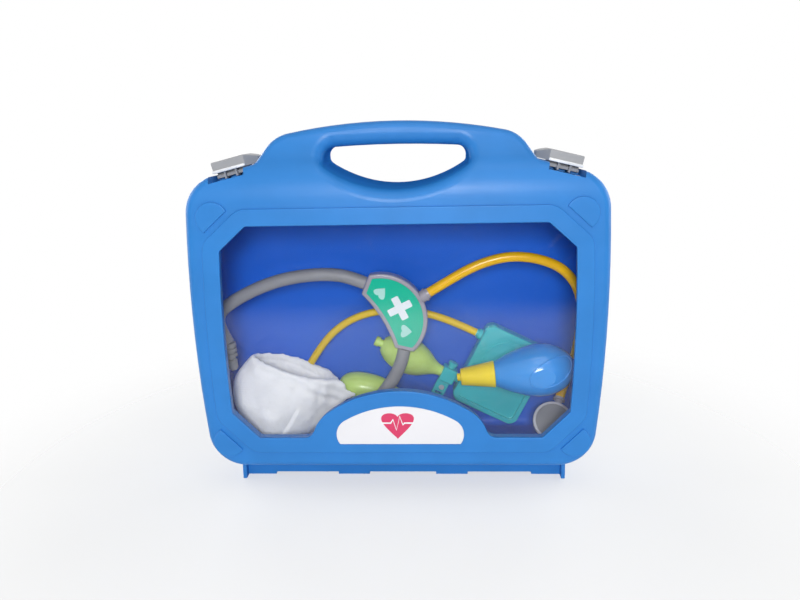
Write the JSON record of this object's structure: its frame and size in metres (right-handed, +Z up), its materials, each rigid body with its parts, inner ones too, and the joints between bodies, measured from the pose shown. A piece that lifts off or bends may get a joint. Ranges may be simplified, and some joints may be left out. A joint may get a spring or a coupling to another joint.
{
  "type": "toy doctor case",
  "caption": "Hinged moulded toy case with a carrying handle, clear window and snap latches, holding a toy stethoscope, cuff, gauge, syringe bulb and otoscope.",
  "frame": {"origin": "on the ground, under the middle of the standing case", "axes": "+X to the right of someone facing the window, +Y from the window to the back, +Z up to the handle"},
  "size_m": [0.2968, 0.08, 0.2736],
  "materials": {
    "shell_blue": "lightly glossy moulded polypropylene",
    "back_blue": "lightly glossy moulded polypropylene, deeper blue",
    "clear_window": "clear polystyrene sheet",
    "label_white": "printed white plastic",
    "steel": "plain steel",
    "latch_grey": "silver-grey moulded plastic",
    "tube_grey": "satin grey plastic",
    "yoke_grey": "glossy grey plastic",
    "badge_green": "glossy green plastic",
    "tube_yellow": "soft yellow vinyl tube",
    "diaphragm_grey": "satin grey plastic",
    "cuff_cloth": "white quilted nylon cloth",
    "teal": "glossy teal plastic",
    "bulb_green": "soft light green vinyl",
    "otoscope_blue": "glossy blue plastic",
    "cone_yellow": "glossy yellow plastic"
  },
  "bodies": {
    "rear": {"rear_shell": "back_blue", "hinge_pin": "steel", "latch_pin_left": "steel", "latch_pin_right": "steel", "ear_tube_upper": "tube_grey", "ear_tube_lower": "tube_grey", "ear_tip_upper": "tube_grey", "ear_tip_lower": "tube_grey", "yoke_front": "yoke_grey", "yoke_back": "yoke_grey", "badge_inlay": "badge_green", "tube_collar": "yoke_grey", "stethoscope_tube": "tube_yellow", "chestpiece_body": "yoke_grey", "chestpiece_rim": "yoke_grey", "chestpiece_diaphragm": "diaphragm_grey", "arm_cuff": "cuff_cloth", "cuff_tube": "tube_yellow", "gauge_back": "teal", "gauge_front": "teal", "valve_block": "teal", "clip_plate": "teal", "clip_screw": "steel", "squeeze_bulb": "bulb_green", "syringe_bulb": "bulb_green", "syringe_tip": "cone_yellow", "otoscope_body_front": "otoscope_blue", "otoscope_body_back": "otoscope_blue", "otoscope_cone": "cone_yellow"},
    "lid": {"front_cover": "shell_blue", "window_pane": "clear_window", "label_plate": "label_white"},
    "latch_left": {"latch_left": "latch_grey"},
    "latch_right": {"latch_right": "latch_grey"}
  },
  "joints": [
    {"name": "lid_hinge", "type": "hinge", "parent": "rear", "child": "lid", "pos_m": [0, 0, 0.0034], "axis": [1, 0, 0], "range_deg": [0, 180]},
    {"name": "latch_right_turn", "type": "hinge", "parent": "rear", "child": "latch_right", "pos_m": [0.11878, 0.009, 0.24431], "axis": [-0.9715, 0, 0.2368], "range_deg": [0, 100]},
    {"name": "latch_left_turn", "type": "hinge", "parent": "rear", "child": "latch_left", "pos_m": [-0.11878, 0.009, 0.24431], "axis": [-0.9715, 0, -0.2368], "range_deg": [0, 100]}
  ]
}
